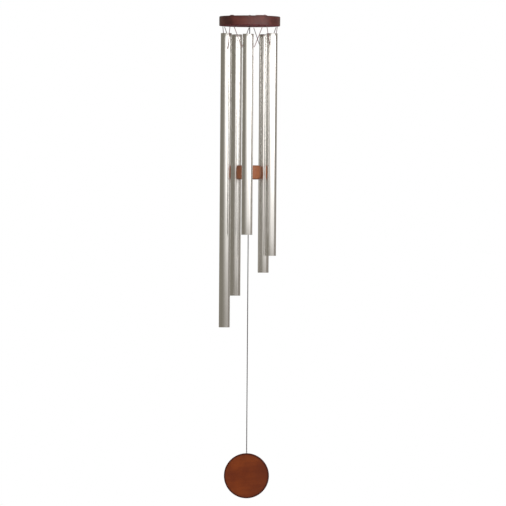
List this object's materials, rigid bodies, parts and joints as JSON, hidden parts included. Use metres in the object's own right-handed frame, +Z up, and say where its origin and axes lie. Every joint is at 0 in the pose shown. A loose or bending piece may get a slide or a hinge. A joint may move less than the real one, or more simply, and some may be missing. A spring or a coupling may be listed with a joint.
{
  "type": "wind chime",
  "caption": "Hanging wind chime: graded metal tubes laced under a round wooden disc, with a wooden clapper on a middle cord and a round wooden wind sail.",
  "frame": {"origin": "centre of the top disc's upper face, which hangs from three hanger cords", "axes": "+Z up along the middle cord, -Y towards the front, where the shortest tube hangs"},
  "size_m": [0.122, 0.122, 0.9667],
  "materials": {
    "disc_wood": "dark stained, satin lacquer",
    "tube_metal": "satin drawn tube",
    "lacing_string": "twisted string, mauve-brown",
    "middle_cord": "twisted cord, light grey-brown",
    "clapper_wood": "orange-brown stain, satin",
    "sail_wood": "red-brown stain, satin"
  },
  "bodies": {
    "root": {"top_disc": "disc_wood", "lacing_bridge_1": "lacing_string", "lacing_bridge_2": "lacing_string", "lacing_bridge_3": "lacing_string", "lacing_bridge_4": "lacing_string", "lacing_bridge_5": "lacing_string", "lacing_knot": "lacing_string", "lacing_tail": "lacing_string", "clapper_cord_stopper": "middle_cord", "clapper_cord_top": "middle_cord"},
    "string_1": {"tube_string_1": "lacing_string"},
    "tube_1": {"tube_1": "tube_metal"},
    "string_2": {"tube_string_2": "lacing_string"},
    "tube_2": {"tube_2": "tube_metal"},
    "string_3": {"tube_string_3": "lacing_string"},
    "tube_3": {"tube_3": "tube_metal"},
    "string_4": {"tube_string_4": "lacing_string"},
    "tube_4": {"tube_4": "tube_metal"},
    "string_5": {"tube_string_5": "lacing_string"},
    "tube_5": {"tube_5": "tube_metal"},
    "clapper_neck": {"clapper_cord_neck": "middle_cord"},
    "clapper": {"clapper_cord": "middle_cord", "clapper": "clapper_wood"},
    "clapper_knot": {"clapper_knot": "middle_cord"},
    "sail_cord": {"sail_cord": "middle_cord"},
    "sail_knot": {"sail_knot": "middle_cord"},
    "wind_sail": {"wind_sail": "sail_wood", "sail_cord_tail": "middle_cord"}
  },
  "joints": [
    {"name": "tube_1_string_swing", "type": "hinge", "parent": "root", "child": "string_1", "pos_m": [-0.04565, -0.01483, -0.02005], "axis": [-0.309, 0.9511, 0], "range_deg": [-2.2, 20]},
    {"name": "tube_1_tilt", "type": "hinge", "parent": "string_1", "child": "tube_1", "pos_m": [-0.04565, -0.01483, -0.065], "axis": [0.309, -0.9511, 0], "range_deg": [-15, 2.5]},
    {"name": "tube_2_string_swing", "type": "hinge", "parent": "root", "child": "string_2", "pos_m": [-0.02821, 0.03883, -0.02005], "axis": [0.809, 0.5878, 0], "range_deg": [-2.2, 20]},
    {"name": "tube_2_tilt", "type": "hinge", "parent": "string_2", "child": "tube_2", "pos_m": [-0.02821, 0.03883, -0.059], "axis": [-0.809, -0.5878, 0], "range_deg": [-15, 2.5]},
    {"name": "tube_3_string_swing", "type": "hinge", "parent": "root", "child": "string_3", "pos_m": [0.02821, 0.03883, -0.02005], "axis": [0.809, -0.5878, 0], "range_deg": [-2.2, 20]},
    {"name": "tube_3_tilt", "type": "hinge", "parent": "string_3", "child": "tube_3", "pos_m": [0.02821, 0.03883, -0.057], "axis": [-0.809, 0.5878, 0], "range_deg": [-15, 2.5]},
    {"name": "tube_4_string_swing", "type": "hinge", "parent": "root", "child": "string_4", "pos_m": [0.04565, -0.01483, -0.02005], "axis": [-0.309, -0.9511, 0], "range_deg": [-2.2, 20]},
    {"name": "tube_4_tilt", "type": "hinge", "parent": "string_4", "child": "tube_4", "pos_m": [0.04565, -0.01483, -0.0565], "axis": [0.309, 0.9511, 0], "range_deg": [-15, 2.5]},
    {"name": "tube_5_string_swing", "type": "hinge", "parent": "root", "child": "string_5", "pos_m": [0, -0.048, -0.02005], "axis": [-1, 0, 0], "range_deg": [-2.2, 20]},
    {"name": "tube_5_tilt", "type": "hinge", "parent": "string_5", "child": "tube_5", "pos_m": [0, -0.048, -0.0625], "axis": [1, 0, 0], "range_deg": [-15, 2.5]},
    {"name": "clapper_swing_front_back", "type": "hinge", "parent": "root", "child": "clapper_neck", "pos_m": [0, 0, -0.01983], "axis": [1, 0, 0], "range_deg": [-2.2, 2.2]},
    {"name": "clapper_swing_side", "type": "hinge", "parent": "clapper_neck", "child": "clapper", "pos_m": [0, 0, -0.01983], "axis": [0, 1, 0], "range_deg": [-2.2, 2.2]},
    {"name": "sail_cord_swing_front_back", "type": "hinge", "parent": "clapper", "child": "clapper_knot", "pos_m": [0, 0, -0.32658], "axis": [1, 0, 0], "range_deg": [-7, 7]},
    {"name": "sail_cord_swing_side", "type": "hinge", "parent": "clapper_knot", "child": "sail_cord", "pos_m": [0, 0, -0.32658], "axis": [0, 1, 0], "range_deg": [-7, 7]},
    {"name": "sail_spin", "type": "hinge", "parent": "sail_cord", "child": "sail_knot", "pos_m": [0, 0, -0.8703], "axis": [0, 0, 1], "range_deg": [-180, 180]},
    {"name": "sail_tilt", "type": "hinge", "parent": "sail_knot", "child": "wind_sail", "pos_m": [0, 0, -0.8703], "axis": [1, 0, 0], "range_deg": [-60, 60]}
  ]
}
